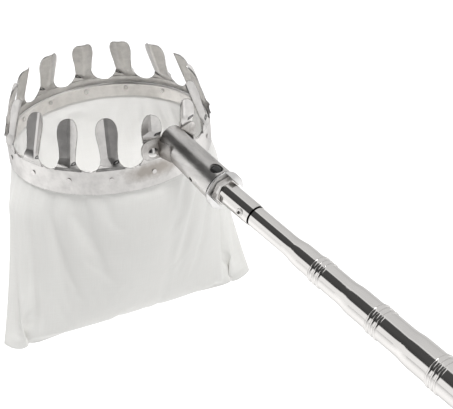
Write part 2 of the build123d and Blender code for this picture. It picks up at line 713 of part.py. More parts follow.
# ---------------------------------------------------------------- handle
def build_grip():
    """Ribbed rubber grip over the handle section."""
    body = tube(GRIP_R, SECTION_R[3] + TOUCH, GRIP_START, GRIP_END)
    rims = body.edges().filter_by(GeomType.CIRCLE).filter_by(lambda edge: edge.radius > GRIP_R - OVERLAP)
    body = fillet(rims, radius=GRIP_ROUND)
    ribs_from = GRIP_START + GRIP_PLAIN_END
    ribs_to = GRIP_END - GRIP_PLAIN_END
    step = (ribs_to - ribs_from) / GRIP_RIB_COUNT
    for index in range(GRIP_RIB_COUNT + 1):
        level = ribs_from + index * step
        groove = Pos(0, 0, level) * Torus(GRIP_R + GRIP_RIB_RISE, GRIP_RIB_DEPTH + GRIP_RIB_RISE)
        body = body - groove
    return POLE_FRAME.location * body


def build_end_cap():
    """Plastic end cap with a plug in the tube and a cross hole for the hanging loop."""
    tail = SECTION_TAIL[3]
    start = GRIP_END + CAP_GAP
    head = rod(CAP_R, start, CAP_END)
    rims = head.edges().filter_by(GeomType.CIRCLE).sort_by(Axis.Z)[-1:]
    head = fillet(rims, radius=CAP_ROUND)
    head = head - rod(SECTION_R[3] + TOUCH, start - CAP_ROUND, tail + TOUCH)
    bore_r = SECTION_R[3] - TUBE_WALL
    plug = rod(bore_r - TOUCH, tail - CAP_PLUG, tail + 1)
    body = head + plug - rod(bore_r - CAP_PLUG_WALL, tail - CAP_PLUG - 1, tail - 1)
    cross = Pos(0, 0, LOOP_PIVOT_U) * Rot(90, 0, 0) * Cylinder(LOOP_WIRE_R + RUNNING, 3 * CAP_R)
    return POLE_FRAME.location * (body - cross)


def build_hang_loop():
    """Wire loop that hangs from the end cap's cross hole."""
    width = LOOP_HALF_WIDTH
    reach = LOOP_REACH
    with BuildPart() as half:
        with BuildLine(Plane.YZ):
            FilletPolyline(
                (0, 0), (width, 0), (width, reach), (0, reach),
                radius=(LOOP_LOW_BEND, LOOP_HIGH_BEND),
            )
        with BuildSketch(Plane.XZ):
            Circle(LOOP_WIRE_R)
        sweep()
    ring = half.part + mirror(half.part, about=Plane.XZ)
    hanging = Rot(0, LOOP_HANG_DEG, 0) * ring
    return POLE_FRAME.location * Pos(0, 0, LOOP_PIVOT_U) * hanging


NODES = {
    "crown": build_crown,
    "inner_hoop": build_inner_hoop,
    "hoop_rivets": build_hoop_rivets,
    "bag": build_bag,
    "socket": build_socket,
    "ear_rivets": build_ear_rivets,
    "rivet_washers": build_rivet_washers,
    "collar": build_collar,
    "lock_nut": build_lock_nut,
    "adapter_tube": build_adapter_tube,
    "adapter_rivet": build_adapter_rivet,
    "spring_button": build_spring_button,
    "button_spring": build_button_spring,
    "pole_section_1": build_first_section,
    "pole_section_2": lambda: necked_section(1),
    "pole_section_3": lambda: necked_section(2),
    "pole_section_4": lambda: necked_section(3),
    "guide_bush_1": lambda: build_guide_bush(0),
    "guide_bush_2": lambda: build_guide_bush(1),
    "guide_bush_3": lambda: build_guide_bush(2),
    "grip": build_grip,
    "end_cap": build_end_cap,
    "hang_loop": build_hang_loop,
}

os.makedirs("parts", exist_ok=True)
for name, build in NODES.items():
    shape = build()
    export_step(shape, f"parts/{name}.step")
    box = shape.bounding_box()
    print(f"{name:16s} solids {len(shape.solids()):3d} volume {shape.volume / 1000:9.3f} cm3",
          f"x {box.min.X:7.1f}..{box.max.X:7.1f} y {box.min.Y:6.1f}..{box.max.Y:6.1f}",
          f"z {box.min.Z:7.1f}..{box.max.Z:7.1f}")
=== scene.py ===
"""Looks of the fruit picker basket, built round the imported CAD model.

Metres, in the CAD model's frame: the origin is the centre of the crown at the feet of its
prongs, +Z runs up the crown's axis and the pole leaves along +X, sloping down.
"""
import math

import bmesh
import bpy
import numpy as np
from mathutils import Matrix, Vector


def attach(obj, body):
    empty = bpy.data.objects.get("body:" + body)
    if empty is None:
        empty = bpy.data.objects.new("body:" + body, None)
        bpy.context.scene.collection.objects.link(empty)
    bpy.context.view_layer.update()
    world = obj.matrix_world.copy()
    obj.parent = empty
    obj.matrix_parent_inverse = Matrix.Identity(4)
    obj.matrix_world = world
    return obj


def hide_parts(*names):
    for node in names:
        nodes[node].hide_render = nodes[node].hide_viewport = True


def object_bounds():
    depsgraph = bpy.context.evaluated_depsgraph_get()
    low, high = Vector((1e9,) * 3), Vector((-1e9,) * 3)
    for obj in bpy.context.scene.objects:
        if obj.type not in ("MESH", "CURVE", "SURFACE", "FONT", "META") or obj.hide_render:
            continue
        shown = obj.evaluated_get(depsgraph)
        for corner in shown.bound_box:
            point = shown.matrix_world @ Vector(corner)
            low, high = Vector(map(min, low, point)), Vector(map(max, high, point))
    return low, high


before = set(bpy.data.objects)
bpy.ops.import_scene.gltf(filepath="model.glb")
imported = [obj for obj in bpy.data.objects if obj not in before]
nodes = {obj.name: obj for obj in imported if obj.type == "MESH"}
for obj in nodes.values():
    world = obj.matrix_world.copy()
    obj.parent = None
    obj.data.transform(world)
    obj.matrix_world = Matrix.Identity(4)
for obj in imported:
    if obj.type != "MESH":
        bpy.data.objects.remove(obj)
cad_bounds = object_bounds()

# ------------------------------------------------------------------ camera and studio
CAMERA_AZIMUTH = 55.42          # degrees round from looking along +Y
CAMERA_ELEVATION = 26.82
CAMERA_DISTANCE = 1.9748
CAMERA_AIM = Vector((0.0731, 0.0456, -0.0617))
CAMERA_ROLL = -5.66
CAMERA_LENS = 214.6
SENSOR_WIDTH = 36.0
FLOOR_DROP = 0.5                # the floor lies this far under the lowest point
FLOOR_SIZE = 40.0
FLOOR_GLOW = 0.85               # light that the floor gives off by itself, far side and near side
FLOOR_GLOW_NEAR = 0.35
FLOOR_FADE_START = -0.5
FLOOR_FADE_END = 1.3
FLOOR_GREY = 0.45
TENT_LEVEL = 1.0                # brightness of the white tent
FAR_LEVEL = 0.72                # and of its far side, above the floor
FAR_FADE = (0.0, -0.15)         # it starts here along Y
FAR_EDGE = (2, 12)              # and between these elevations, in degrees
ROOM_SHARE_LOW = 0.015          # of that is left where the tent is open, near the horizon
ROOM_SHARE_HIGH = 0.075         # and high up
ROOM_SHARE_EDGE = (-8, 55)      # elevations of low and high
ROOM_RIGHT = (-14, -2)          # azimuths and elevation between which the opening's edges fade
ROOM_LEFT = (74, 62)
ROOM_BOTTOM = (-12, -6)
CEILING_EDGE = (27, 31)         # the opening reaches further round above these elevations
CEILING_LEFT = (90, 70)
CEILING_FADE = (-0.04, 0.04)
LIGHT_DISTANCE = 2.5
LIGHTS = (                      # name, azimuth, elevation, size, watts, whether metal mirrors it
    ("key", 62, 62, 0.8, 46, False),
    ("side", -35, 60, 0.8, 16, False),
    ("back", 235, 50, 0.8, 13, False),
    ("glint", -114, 21, 0.3, 6, True),
)

# ------------------------------------------------------------------ metal parts
JOINT_POINT = (0.1273, 0.0, -0.0073)  # where the axes of the socket and the pole meet
POLE_SLOPE = 15.4                     # degrees
SOCKET_SLOPE = 20.0
POLE_GROOVE_SHADE = (0.0386, 0.0401)        # painted shade in the groove, by distance from the joint point
EDGE_SHADE_GREY = 0.10                      # of the painted shade line along cut edges
GROOVE_SHADE_GREY = 0.01
STEEL_WARMTH = 0.025                  # share by which red is raised and blue lowered
CAST_WARMTH = 0.01
DARK_PATCH_WARMTH = 0.08
RIM_GREY = 0.55                       # how well metal mirrors at a grazing angle
# painted reflection of the socket on the band beside it: middle, size along each axis and grey
BAND_PAINTED_REFLECTION = ((0.073, -0.016, -0.007), (0.022, 0.034, 0.009), 0.42)
# darker place on the socket and its ears where they meet the band: middle, size along each axis and grey
EAR_DARK_PATCH = ((0.075, 0.0, 0.009), (0.013, 0.034, 0.016), 0.26)
DARK_PATCH_UNEVEN = 0.8                    # how far streaks reach into a dark patch's rim
DARK_PATCH_FADE = (0.7, 1.3)
BRUSHED = (900.0, 4.0, 0.6)           # noises by scale, detail and roughness
STREAKS = (140.0, 4.0, 0.65)
CLOUDS = (55.0, 4.0, 0.6)
DENTS = (24.0, 2.0, 0.5)
NOISE_RANGE = (0.3, 0.7)              # where most values of a noise lie
PATCH_RANGE = (0.36, 0.58)            # from the dull patches to the clean metal
EDGE_SAMPLES = 4
EDGE_RANGE = (0.80, 0.97)             # agreement of rounded and plain normals, edge to face

# ------------------------------------------------------------------ plastic parts
SKIN_DETAIL = 3.0
SKIN_ROUGHNESS = 0.55
PLASTIC_CLOUDS = (60.0, 3.0)
PLASTIC_SPREAD = 0.06                 # of the roughness
PLASTIC_PALER = 1.35

# ------------------------------------------------------------------ bag
BAG_SEAM_TURN = math.radians(75.0)    # direction of the straight seam across the bottom
BAG_TOP_R = 0.0731
BAG_TOP_Z = -0.0045
BAG_PIN_Z = -0.0195                   # the cloth is held above this height
BAG_BOTTOM_Z = -0.1585
BAG_HALF_SEAM = 0.1075
BAG_CUT_HALF_SEAM = 0.1130
BAG_CUT_LENGTH = 0.190                # from rim to seam along the middle of a side, in the flat cloth
BAG_CUT_SHORTER = 0.010               # and this much less at the folds
BAG_CORNER = 0.014                    # how far the lower corners are rounded off
BAG_CORNER_START = 0.86               # from this share of the half seam
BAG_CORNER_REACH = 0.14               # over this share
BAG_CORNER_HANGING = 0.8              # share of that rounding in the hanging loft
BAG_FLARE_POWER = 0.9
BAG_PINCH_EVEN = 0.35                 # share of the narrowing that goes evenly with the height
BAG_PINCH_POWER = 1.1
BAG_STRAIGHTEN = 0.1                  # the round section starts to turn into the seam here
BAG_COLUMNS = 168
BAG_ROWS = 60
FLAT_GAP = 0.0005                     # between the two sides in the flat cut
BAG_SPREAD = 0.065                    # slack taken up along the seam and downwards after the fall
BAG_BULGE = 0.075                     # and just under the rim
BAG_BULGE_RISE = 0.22
BAG_DROP = 0.05
CLOTH_FRAMES = 45
CLOTH_THICKNESS = 0.0006
SIDE_SEAM_TURN = math.radians(255.0)  # the tube of cloth is closed here, under the bracket
SEAM_RAISE = 0.0006
SEAM_PROFILE = ((-1, 0.6), (0, 1.0), (1, 0.6))  # columns off the seam and their share of the raise
SEAM_PINCH = (0.12, 0.3, 0.6)         # gap left between the sides, upwards from the bottom edge
STITCH_LENGTH = 0.0026
STITCH_STEP = 0.0034
STITCH_R = 0.00022
STITCH_RINGS = 7
STITCH_CORNERS = 6
STITCH_END = 0.45                     # thickness left at a stitch's ends
STITCH_STAND = 0.6                    # height of its middle, in radii
STITCH_DIP = 1.6                      # how far its ends dip from there
STITCH_LINES = (-0.0032, 0.0032)      # either side of the side seam
STITCH_MARGIN = 4                     # rows or columns left free at the ends of a line
STITCH_ROWS_UP = 2.6                  # rows from the grid's end to the bottom seam's line
THREAD_PITCH = 0.00055                # from one thread of the weave to the next
SLUB_ACROSS = 1500
SLUB_ALONG = 45
SLUB_DETAIL = 2.0
WEAVE_SHARE = 0.25                    # height of the weave beside that of uneven threads
CLOTH_CLOUDS = (22.0, 3.0)
TONE_RANGE = (0.35, 0.65)
WEAVE_HEIGHT = 0.00006
WEAVE_STRENGTH = 0.6
# the inside is the same cloth as the outside, painted paler as painted light
COTTON_INSIDE_PAINTED_LIGHT = ((0.89, 0.885, 0.87, 1.0), (0.85, 0.845, 0.83, 1.0))
COTTON_OUTSIDE = ((0.83, 0.825, 0.80, 1.0), (0.785, 0.78, 0.755, 1.0))
TWIST = (4000.0, 2.0)
TWIST_HEIGHT = 0.00003
THREAD_TONES = ((0.78, 0.77, 0.75, 1.0), (0.92, 0.91, 0.89, 1.0))
NOTHING = 1e-9                        # lengths and sines under this count as zero


# ------------------------------------------------------------------ helpers
def direction(azimuth_deg, elevation_deg):
    """Unit vector from the object towards a camera at that azimuth and elevation."""
    azimuth, elevation = math.radians(azimuth_deg), math.radians(elevation_deg)
    flat = math.cos(elevation)
    return Vector((flat * math.sin(azimuth), -flat * math.cos(azimuth), math.sin(elevation)))


def smoothstep(low, high, value):
    t = np.clip((np.asarray(value, float) - low) / (high - low), 0.0, 1.0)
    return t * t * (3.0 - 2.0 * t)


def add_object(name, data):
    piece = bpy.data.objects.new(name, data)
    bpy.context.scene.collection.objects.link(piece)
    return piece


class Graph:
    """Short way to write a shader's nodes: every call adds one node and returns it."""

    def __init__(self, tree):
        self.tree = tree
        self.tree.nodes.clear()

    def add(self, kind, inputs=None, **settings):
        node = self.tree.nodes.new(kind)
        for key, value in settings.items():
            setattr(node, key, value)
        for key, value in (inputs or {}).items():
            if hasattr(value, "is_output"):
                self.tree.links.new(value, node.inputs[key])
            else:
                node.inputs[key].default_value = value
        return node

    def math(self, operation, first, second=0.0):
        return self.add("ShaderNodeMath", {0: first, 1: second}, operation=operation).outputs[0]

    def vector(self, operation, first, second):
        node = self.add("ShaderNodeVectorMath", {0: first, 1: second}, operation=operation)
        return node.outputs["Value" if operation == "DOT_PRODUCT" else "Vector"]

    def weighted(self, first, first_share, second, second_share):
        """Sum of two values, each times its share."""
        return self.math(
            "ADD", self.math("MULTIPLY", first, first_share), self.math("MULTIPLY", second, second_share),
        )

    def scaled(self, value, low, high, to_low, to_high):
        node = self.add("ShaderNodeMapRange", {
            "Value": value, "From Min": low, "From Max": high,
            "To Min": to_low, "To Max": to_high,
        })
        return node.outputs["Result"]

    def noise(self, vector, scale, detail=3.0, roughness=0.5):
        return self.add("ShaderNodeTexNoise", {
            "Vector": vector, "Scale": scale, "Detail": detail, "Roughness": roughness,
        }).outputs["Fac"]

    def mixed(self, factor, first, second):
        node = self.add("ShaderNodeMix", {0: factor, 6: first, 7: second}, data_type="RGBA")
        return node.outputs[2]

    def bump(self, height, distance, strength=1.0, normal=None):
        inputs = {"Height": height, "Distance": distance, "Strength": strength}
        if normal is not None:
            inputs["Normal"] = normal
        return self.add("ShaderNodeBump", inputs).outputs["Normal"]


def new_material(name):
    material = bpy.data.materials.new(name)
    material.use_nodes = True
    return material, Graph(material.node_tree)


def finish_surface(graph, **inputs):
    surface = graph.add("ShaderNodeBsdfPrincipled", inputs={
        key.replace("_", " "): value for key, value in inputs.items()
    })
    graph.add("ShaderNodeOutputMaterial", {"Surface": surface.outputs[0]})


def grey(value, warmth=0.0):
    return (value * (1.0 + warmth), value, value * (1.0 - warmth), 1.0)


def darker(colour, share):
    return [channel * share for channel in colour[:3]] + [1.0]


# ------------------------------------------------------------------ materials
def metal(name, tone, roughness, spread, grain, warmth=STEEL_WARMTH, stretch=(1, 1, 1),
          turn=(0, 0, 0), dent=0.0, dull=0.94, edge_shade=0.0, groove_shade=None, dark_patch=None):
    """Bare metal: uneven polish, dull patches, a fine grain along one way and shallow dents.

    edge is the width of the painted shade line along cut edges, groove a stretch of the pole painted black
    as shade in its groove and smudge a darker place, on the band a painted reflection of the socket: its
    middle, its size along each axis and the grey left there.
    """
    material, graph = new_material(name)
    place = graph.add("ShaderNodeTexCoord").outputs["Object"]
    along = graph.add("ShaderNodeMapping", {
        "Vector": place, "Rotation": turn, "Scale": stretch,
    }).outputs[0]
    fine = graph.noise(along, *BRUSHED)
    cloudy = graph.noise(place, *CLOUDS)
    streaky = graph.noise(along, *STREAKS)
    uneven = graph.weighted(fine, 0.4, cloudy, 0.6)
    rough = graph.scaled(uneven, *NOISE_RANGE, roughness - spread, roughness + spread)
    patches = graph.scaled(graph.weighted(streaky, 0.5, cloudy, 0.5), *PATCH_RANGE, 0.0, 1.0)
    colour = grey(tone, warmth)
    tint = graph.mixed(patches, darker(colour, dull), colour)
    # darker patch: on the band a painted reflection of the socket, on the socket a darker place where it
    # meets the band
    if dark_patch:
        patch_grey = grey(dark_patch[2], DARK_PATCH_WARMTH)
        tint = graph.mixed(near_place(graph, place, streaky, dark_patch), tint, patch_grey)
    # painted shade along the cut edges
    if edge_shade:
        tint = graph.mixed(near_edge(graph, edge_shade), tint, grey(EDGE_SHADE_GREY))
    # painted shade in the pole's groove
    if groove_shade:
        tint = graph.mixed(inside_groove(graph, place, groove_shade), tint, grey(GROOVE_SHADE_GREY))
    shape = graph.bump(graph.noise(place, *DENTS), dent) if dent else None
    finish_surface(
        graph, Base_Color=tint, Metallic=1.0, Roughness=rough, Specular_Tint=grey(RIM_GREY),
        Normal=graph.bump(fine, grain, normal=shape),
    )
    return material


def near_place(graph, place, streaky, dark_patch):
    """1 in the middle of a dark patch, fading out unevenly towards its rim."""
    middle, size, _ = dark_patch
    scaled = graph.vector("DIVIDE", graph.vector("SUBTRACT", place, middle), size)
    away = graph.add("ShaderNodeVectorMath", {0: scaled}, operation="LENGTH").outputs["Value"]
    uneven = graph.weighted(away, 1.0, streaky, DARK_PATCH_UNEVEN)
    return graph.scaled(uneven, *DARK_PATCH_FADE, 1.0, 0.0)


def near_edge(graph, width):
    """1 along the sheet's cut edges, 0 on its faces."""
    rounded = graph.add("ShaderNodeBevel", {"Radius": width}, samples=EDGE_SAMPLES).outputs["Normal"]
    plain = graph.add("ShaderNodeNewGeometry").outputs["Normal"]
    return graph.scaled(graph.vector("DOT_PRODUCT", rounded, plain), *EDGE_RANGE, 1.0, 0.0)


def inside_groove(graph, place, groove_shade):
    """1 between two distances along the pole from the joint point, 0 elsewhere."""
    slope = math.radians(POLE_SLOPE)
    along = (math.cos(slope), 0.0, -math.sin(slope))
    reach = graph.vector("DOT_PRODUCT", graph.vector("SUBTRACT", place, JOINT_POINT), along)
    after = graph.math("GREATER_THAN", reach, groove_shade[0])
    before = graph.math("LESS_THAN", reach, groove_shade[1])
    return graph.math("MULTIPLY", after, before)


def plastic(name, colour, roughness, grain, scale=1500.0):
    """Moulded plastic or rubber with a fine skin."""
    material, graph = new_material(name)
    place = graph.add("ShaderNodeTexCoord").outputs["Object"]
    skin = graph.noise(place, scale, SKIN_DETAIL, SKIN_ROUGHNESS)
    cloudy = graph.noise(place, *PLASTIC_CLOUDS)
    rough = graph.scaled(
        cloudy, *NOISE_RANGE, roughness - PLASTIC_SPREAD, roughness + PLASTIC_SPREAD,
    )
    tint = graph.mixed(cloudy, colour, [min(1.0, c * PLASTIC_PALER) for c in colour[:3]] + [1.0])
    finish_surface(graph, Base_Color=tint, Roughness=rough, Normal=graph.bump(skin, grain))
    return material


def cotton(name, pale, shade):
    """Undyed plain weave cotton, by the cloth's own flat coordinates."""
    material, graph = new_material(name)
    flat = graph.add("ShaderNodeUVMap", uv_map="cloth").outputs[0]
    split = graph.add("ShaderNodeSeparateXYZ", {0: flat})
    turn = math.pi / THREAD_PITCH
    warp_wave = graph.math("SINE", graph.math("MULTIPLY", split.outputs[0], turn))
    weft_wave = graph.math("SINE", graph.math("MULTIPLY", split.outputs[1], turn))
    weave = graph.math("MULTIPLY", warp_wave, weft_wave)
    warp = slubs(graph, flat, (SLUB_ACROSS, SLUB_ALONG, 1))
    weft = slubs(graph, flat, (SLUB_ALONG, SLUB_ACROSS, 1))
    threads = graph.weighted(warp, 0.5, weft, 0.5)
    height = graph.weighted(weave, WEAVE_SHARE, threads, 1.0)
    tone = graph.weighted(threads, 0.7, graph.noise(flat, *CLOTH_CLOUDS), 0.3)
    colour = graph.mixed(graph.scaled(tone, *TONE_RANGE, 0.0, 1.0), shade, pale)
    finish_surface(
        graph, Base_Color=colour, Roughness=0.9, Specular_IOR_Level=0.2, Sheen_Weight=0.15,
        Normal=graph.bump(height, WEAVE_HEIGHT, WEAVE_STRENGTH),
    )
    return material


def slubs(graph, flat, stretch):
    """Unevenness of the threads that run one way."""
    stretched = graph.add("ShaderNodeMapping", {"Vector": flat, "Scale": stretch}).outputs[0]
    return graph.noise(stretched, 1.0, SLUB_DETAIL)


def thread(name):
    """Twisted cotton thread."""
    material, graph = new_material(name)
    place = graph.add("ShaderNodeTexCoord").outputs["Object"]
    twist = graph.noise(place, *TWIST)
    tint = graph.mixed(twist, *THREAD_TONES)
    finish_surface(graph, Base_Color=tint, Roughness=0.8, Normal=graph.bump(twist, TWIST_HEIGHT))
    return material


def give(material, *names):
    """Give CAD nodes a material."""
    for name in names:
        data = nodes[name].data
        data.materials.clear()
        data.materials.append(material)


def dress_cad_nodes():
    """Materials of the metal and plastic parts."""
    along_pole = {"stretch": (0.03, 1, 1), "turn": (0, math.radians(POLE_SLOPE), 0)}
    along_socket = {"stretch": (0.05, 1, 1), "turn": (0, math.radians(SOCKET_SLOPE), 0)}
    polish = {"tone": 0.80, "roughness": 0.10, "spread": 0.03, "grain": 0.000004, **along_pole}
    # the band is painted darker beside the socket as a painted reflection of it, with painted shade along
    # its cut edges
    sheet = metal("satin_sheet", tone=0.77, roughness=0.34, spread=0.08, grain=0.00003, dent=0.0008,
                  dull=0.78, edge_shade=0.0006, dark_patch=BAND_PAINTED_REFLECTION)
    give(sheet, "crown")
    # paler than the crown's sheet as painted light, making up for the shade inside the basket; painted
    # shade along its cut edges
    hoop = metal("hoop_sheet_painted_lighter", tone=0.96, roughness=0.36, spread=0.08, grain=0.00003, dent=0.0006,
                 dull=0.86, edge_shade=0.0003)
    give(hoop, "inner_hoop")
    # darker where it meets the band, with painted shade along its cut edges
    rolled = metal("rolled_socket", tone=0.80, roughness=0.33, spread=0.08, grain=0.00004, dull=0.66,
                   edge_shade=0.0005, dark_patch=EAR_DARK_PATCH, **along_socket)
    give(rolled, "socket")
    rivet = metal("rivet_metal", tone=0.76, roughness=0.24, spread=0.05, grain=0.00001)
    give(rivet, "hoop_rivets", "ear_rivets", "adapter_rivet", "rivet_washers")
    cast = metal("cast_collar", tone=0.90, roughness=0.46, spread=0.06, grain=0.00006, dull=0.86,
                 warmth=CAST_WARMTH)
    give(cast, "collar")
    # painted shade along its cut edges
    give(metal("bright_zinc", tone=0.80, roughness=0.16, spread=0.04, grain=0.00001, edge_shade=0.0003),
         "lock_nut")
    give(metal("polished_steel", **polish),
         "adapter_tube", "pole_section_2", "pole_section_3", "pole_section_4")
    # painted shade in the groove of the first section
    give(metal("polished_end", groove_shade=POLE_GROOVE_SHADE, **polish), "pole_section_1")
    give(metal("wire_steel", tone=0.62, roughness=0.3, spread=0.06, grain=0.00001),
         "hang_loop", "button_spring")
    give(plastic("black_button", grey(0.012), roughness=0.14, grain=0.000002), "spring_button")
    give(plastic("nylon_bush", grey(0.08), roughness=0.5, grain=0.00001),
         "guide_bush_1", "guide_bush_2", "guide_bush_3")
    rubber = (0.022, 0.022, 0.024, 1.0)
    give(plastic("grip_rubber", rubber, roughness=0.72, grain=0.00006, scale=900.0), "grip")
    give(plastic("cap_plastic", grey(0.018), roughness=0.5, grain=0.00003, scale=1200.0), "end_cap")


# ------------------------------------------------------------------ bag
def bag_section(height):
    """Half length along the seam and half depth across it of the hanging bag."""
    below = (BAG_PIN_Z - height) / (BAG_PIN_Z - BAG_BOTTOM_Z)
    eased = smoothstep(0.0, 1.0, below)
    fall = np.clip(below, 0.0, 1.0)
    narrowing = BAG_PINCH_EVEN * fall + (1.0 - BAG_PINCH_EVEN) * eased
    half_length = BAG_TOP_R + (BAG_HALF_SEAM - BAG_TOP_R) * fall ** BAG_FLARE_POWER
    half_depth = BAG_TOP_R * (1.0 - narrowing ** BAG_PINCH_POWER)
    return half_length, half_depth


def build_bag_grid():
    """Tube of cloth from the rim down to the seam: hanging points, flat points, faces and index."""
    heights = np.linspace(BAG_TOP_Z, BAG_BOTTOM_Z, BAG_ROWS)
    turns = np.arange(BAG_COLUMNS) * 2 * math.pi / BAG_COLUMNS
    side = np.sign(np.sin(turns)) * (np.abs(np.sin(turns)) > NOTHING)
    across = turns / math.pi
    across = np.where(across > 1.0, 2.0 - across, across)        # 0 at one side fold, 1 at the other
    index = np.zeros((BAG_ROWS, BAG_COLUMNS), int)
    hanging, flat = [], []
    cut_top = math.pi * BAG_TOP_R
    for row, height in enumerate(heights):
        down = row / (BAG_ROWS - 1)
        half_length, half_depth = bag_section(height)
        width = cut_top + (2 * BAG_CUT_HALF_SEAM - cut_top) * down
        mix = float(smoothstep(BAG_STRAIGHTEN, 1.0, down))
        for column in range(BAG_COLUMNS):
            twin = (BAG_COLUMNS - column) % BAG_COLUMNS
            if row == BAG_ROWS - 1 and twin < column:
                index[row, column] = index[row, twin]
                continue
            straight = (across[column] - 0.5) * 2.0
            round_x = -math.cos(turns[column])
            x = half_length * (round_x * (1 - mix) + straight * mix)
            y = half_depth * math.sin(turns[column])
            past = max(0.0, abs(straight) - BAG_CORNER_START)
            lift = BAG_CORNER * past ** 2 / BAG_CORNER_REACH ** 2 * down ** 4
            length = BAG_CUT_LENGTH - BAG_CUT_SHORTER * straight ** 2
            index[row, column] = len(hanging)
            hanging.append((x, y, height + lift * BAG_CORNER_HANGING))
            flat.append((straight * width / 2, side[column] * FLAT_GAP, -length * down + lift))
    return np.array(hanging), np.array(flat), grid_faces(index), index


def grid_faces(index):
    """Faces between the grid's points, with three corners where two points are one."""
    faces = []
    for row in range(BAG_ROWS - 1):
        for column in range(BAG_COLUMNS):
            after = (column + 1) % BAG_COLUMNS
            corners = [index[row, column], index[row + 1, column], index[row + 1, after], index[row, after]]
            faces.append(list(dict.fromkeys(corners)))
    return faces


def lay_out_uv(mesh, index):
    """Flat coordinates of the cloth in metres, for the weave."""
    layer = mesh.uv_layers.new(name="cloth")
    places = {}
    for row in range(BAG_ROWS):
        for column in range(BAG_COLUMNS):
            places.setdefault(int(index[row, column]), (row, column))
    circumference = 2 * math.pi * BAG_TOP_R
    for polygon in mesh.polygons:
        corners = [places[mesh.loops[i].vertex_index] for i in polygon.loop_indices]
        columns = [column for _, column in corners]
        wraps = max(columns) - min(columns) > BAG_COLUMNS / 2
        for loop_index, (row, column) in zip(polygon.loop_indices, corners):
            if wraps and column < BAG_COLUMNS / 2:
                column += BAG_COLUMNS
            layer.data[loop_index].uv = (
                column / BAG_COLUMNS * circumference,
                -row / (BAG_ROWS - 1) * BAG_CUT_LENGTH,
            )


def build_bag():
    """Cotton bag, hung from the rim by a cloth simulation from its flat cut."""
    hanging, flat, faces, index = build_bag_grid()
    turn = Matrix.Rotation(BAG_SEAM_TURN, 3, "Z")
    hanging = hanging @ np.array(turn).T
    mesh = bpy.data.meshes.new("bag_cloth")
    mesh.from_pydata(hanging.tolist(), [], faces)
    lay_out_uv(mesh, index)
    bag = add_object("bag_cloth", mesh)
    hang_cloth(bag, flat)
    take_up_slack(mesh)
    press_seams(mesh, index)
    mesh.polygons.foreach_set("use_smooth", [True] * len(mesh.polygons))
    # paler inside copy of the cotton, as painted light
    mesh.materials.append(cotton("cotton_inside_painted_light", *COTTON_INSIDE_PAINTED_LIGHT))
    mesh.materials.append(cotton("cotton", *COTTON_OUTSIDE))
    soft = bag.modifiers.new("smooth", "SUBSURF")
    soft.levels = soft.render_levels = 1
    thick = bag.modifiers.new("thickness", "SOLIDIFY")
    thick.thickness = CLOTH_THICKNESS
    thick.offset = 0.0
    thick.material_offset = 1
    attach(bag, "head")
    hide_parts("bag")
    stitching = build_stitching(mesh, index)


def take_up_slack(mesh):
    """Draw the fallen cloth out along the bottom seam and down, more towards the bottom."""
    seam_way = Vector((math.cos(BAG_SEAM_TURN), math.sin(BAG_SEAM_TURN), 0.0))
    for vertex in mesh.vertices:
        below = max(0.0, BAG_PIN_Z - vertex.co.z)
        share = below / (BAG_PIN_Z - BAG_BOTTOM_Z)
        bulge = BAG_BULGE * (1.0 - share) * float(smoothstep(0.0, BAG_BULGE_RISE, share))
        vertex.co += seam_way * (vertex.co.dot(seam_way) * (BAG_SPREAD * share + bulge))
        vertex.co.z -= below * BAG_DROP
    mesh.update()


def press_seams(mesh, index):
    """Pinch the bottom seam flat and raise the folded seam up the side."""
    points = np.zeros(len(mesh.vertices) * 3, np.float32)
    mesh.vertices.foreach_get("co", points)
    points = points.reshape(-1, 3)
    half = BAG_COLUMNS // 2
    for up, keep in enumerate(SEAM_PINCH, start=1):
        row = BAG_ROWS - 1 - up
        for column in range(1, half):
            front, back = index[row, column], index[row, BAG_COLUMNS - column]
            middle = (points[front] + points[back]) / 2
            points[front] = middle + (points[front] - middle) * keep
            points[back] = middle + (points[back] - middle) * keep
    seam = round(SIDE_SEAM_TURN / (2 * math.pi) * BAG_COLUMNS)
    for offset, share in SEAM_PROFILE:
        for row in range(BAG_ROWS - len(SEAM_PINCH) - 1):
            here = index[row, seam + offset]
            normal = mesh.vertices[here].normal
            points[here] += np.array(normal) * SEAM_RAISE * share
    mesh.vertices.foreach_set("co", points.ravel())
    mesh.update()


def surface_point(mesh, index, row, column):
    """Point and normal on the cloth at a fractional row and column."""
    low_row = min(int(row), BAG_ROWS - 2)
    low_column = math.floor(column)
    part_row, part_column = row - low_row, column - low_column
    point, normal = Vector(), Vector()
    for row_step, row_share in ((0, 1 - part_row), (1, part_row)):
        for column_step, column_share in ((0, 1 - part_column), (1, part_column)):
            number = index[low_row + row_step, (low_column + column_step) % BAG_COLUMNS]
            vertex = mesh.vertices[int(number)]
            point += vertex.co * row_share * column_share
            normal += vertex.normal * row_share * column_share
    return point, normal.normalized()


def stitch_path(mesh, index, places):
    """Points just outside the cloth along a list of (row, column) places."""
    path = []
    for row, column in places:
        point, normal = surface_point(mesh, index, row, column)
        path.append((point + normal * (CLOTH_THICKNESS / 2), normal))
    return path


def add_stitches(build, path):
    """Short thread loops along a path, one each step."""
    travelled, wanted = 0.0, 0.0
    for (start, normal), (end, _) in zip(path, path[1:]):
        span = (end - start).length
        while wanted < travelled + span and span > NOTHING:
            centre = start.lerp(end, (wanted - travelled) / span)
            add_capsule(build, centre, (end - start).normalized(), normal)
            wanted += STITCH_STEP
        travelled += span


